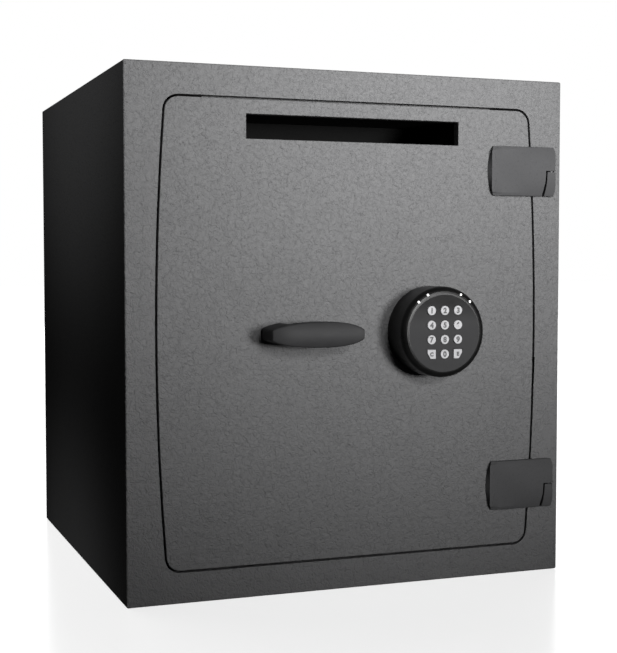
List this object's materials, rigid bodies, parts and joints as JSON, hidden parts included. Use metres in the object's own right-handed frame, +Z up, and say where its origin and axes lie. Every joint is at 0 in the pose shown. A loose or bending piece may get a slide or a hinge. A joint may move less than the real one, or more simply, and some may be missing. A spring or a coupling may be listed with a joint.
{
  "type": "deposit safe",
  "caption": "Steel drop box with a letter slot in a bowed hinged door, lift-off hinges, lever, sliding bolts and a round electronic keypad.",
  "frame": {"origin": "on the floor at the middle of the box's base", "axes": "+Z up, -Y out of the door's face, +X towards the hinges"},
  "size_m": [0.452, 0.489, 0.5],
  "materials": {
    "coated_steel": "matt charcoal textured powder coat",
    "inner_coat": "satin grey paint",
    "zinc_steel": "zinc plated",
    "brass": "turned",
    "lock_body": "die cast",
    "black_gloss": "gloss black moulding",
    "black_satin": "black satin coat on die cast",
    "face_grey": "fine matt moulding",
    "key_grey": "soft grey rubberised keys",
    "light_white": "clear lens",
    "board_green": "circuit board",
    "cell_case": "printed can without print",
    "cable_black": "sheathed cable"
  },
  "bodies": {
    "root": {"front_frame": "coated_steel", "left_panel": "coated_steel", "right_panel": "coated_steel", "top_panel": "coated_steel", "base_panel": "coated_steel", "back_panel": "coated_steel", "door_stops": "coated_steel", "upper_knuckle": "coated_steel", "lower_knuckle": "coated_steel", "hinge_pins": "zinc_steel", "hinge_washers": "brass"},
    "door": {"door_plate": "coated_steel", "door_pan": "inner_coat", "inner_cover": "inner_coat", "cover_screws": "zinc_steel", "upper_arm": "coated_steel", "lower_arm": "coated_steel", "arm_screws": "zinc_steel", "dog_bar": "zinc_steel", "chute": "inner_coat", "fishing_guard": "zinc_steel", "hard_plate": "zinc_steel", "lock_case": "lock_body", "lock_screws": "zinc_steel", "lock_cable": "cable_black", "keypad_base": "black_gloss", "keypad_screws": "zinc_steel", "keypad_housing": "black_gloss", "keypad_fascia": "face_grey", "status_lights": "light_white", "keypad_board": "board_green", "battery": "cell_case", "spindle_bush": "brass", "guide_studs": "zinc_steel", "stud_clips": "zinc_steel"},
    "lever": {"lever": "black_satin", "lever_screw": "zinc_steel", "spindle": "zinc_steel", "retaining_ring": "zinc_steel", "drive_cam": "zinc_steel", "cam_screw": "zinc_steel"},
    "bolt_carrier": {"bolt_carrier": "zinc_steel", "bolts": "zinc_steel", "bolt_screws": "zinc_steel"},
    "lock_bolt": {"lock_bolt": "zinc_steel"},
    "key_1": {"key_1": "key_grey"},
    "key_2": {"key_2": "key_grey"},
    "key_3": {"key_3": "key_grey"},
    "key_4": {"key_4": "key_grey"},
    "key_5": {"key_5": "key_grey"},
    "key_6": {"key_6": "key_grey"},
    "key_7": {"key_7": "key_grey"},
    "key_8": {"key_8": "key_grey"},
    "key_9": {"key_9": "key_grey"},
    "key_clear": {"key_clear": "key_grey"},
    "key_0": {"key_0": "key_grey"},
    "key_enter": {"key_enter": "key_grey"}
  },
  "joints": [
    {"name": "door_swing", "type": "hinge", "parent": "root", "child": "door", "pos_m": [0.211, -0.2307, 0.25], "axis": [0, 0, 1], "range_deg": [0, 175]},
    {"name": "lever_turn", "type": "hinge", "parent": "door", "child": "lever", "pos_m": [-0.084, -0.225, 0.25], "axis": [0, 1, 0], "range_deg": [0, 90]},
    {"name": "bolts_slide", "type": "slide", "parent": "door", "child": "bolt_carrier", "axis": [-1, 0, 0], "range_m": [0, 0.03]},
    {"name": "lock_slide", "type": "slide", "parent": "door", "child": "lock_bolt", "axis": [0, 0, -1], "range_m": [0, 0.01]},
    {"name": "press_1", "type": "slide", "parent": "door", "child": "key_1", "axis": [0, 1, 0], "range_m": [0, 0.001], "stiffness_N_per_m": 400},
    {"name": "press_2", "type": "slide", "parent": "door", "child": "key_2", "axis": [0, 1, 0], "range_m": [0, 0.001], "stiffness_N_per_m": 400},
    {"name": "press_3", "type": "slide", "parent": "door", "child": "key_3", "axis": [0, 1, 0], "range_m": [0, 0.001], "stiffness_N_per_m": 400},
    {"name": "press_4", "type": "slide", "parent": "door", "child": "key_4", "axis": [0, 1, 0], "range_m": [0, 0.001], "stiffness_N_per_m": 400},
    {"name": "press_5", "type": "slide", "parent": "door", "child": "key_5", "axis": [0, 1, 0], "range_m": [0, 0.001], "stiffness_N_per_m": 400},
    {"name": "press_6", "type": "slide", "parent": "door", "child": "key_6", "axis": [0, 1, 0], "range_m": [0, 0.001], "stiffness_N_per_m": 400},
    {"name": "press_7", "type": "slide", "parent": "door", "child": "key_7", "axis": [0, 1, 0], "range_m": [0, 0.001], "stiffness_N_per_m": 400},
    {"name": "press_8", "type": "slide", "parent": "door", "child": "key_8", "axis": [0, 1, 0], "range_m": [0, 0.001], "stiffness_N_per_m": 400},
    {"name": "press_9", "type": "slide", "parent": "door", "child": "key_9", "axis": [0, 1, 0], "range_m": [0, 0.001], "stiffness_N_per_m": 400},
    {"name": "press_clear", "type": "slide", "parent": "door", "child": "key_clear", "axis": [0, 1, 0], "range_m": [0, 0.001], "stiffness_N_per_m": 400},
    {"name": "press_0", "type": "slide", "parent": "door", "child": "key_0", "axis": [0, 1, 0], "range_m": [0, 0.001], "stiffness_N_per_m": 400},
    {"name": "press_enter", "type": "slide", "parent": "door", "child": "key_enter", "axis": [0, 1, 0], "range_m": [0, 0.001], "stiffness_N_per_m": 400}
  ],
  "couplings": [
    {"joint": "bolts_slide", "follows": "lever_turn", "m_per_rad": 0.019098}
  ]
}
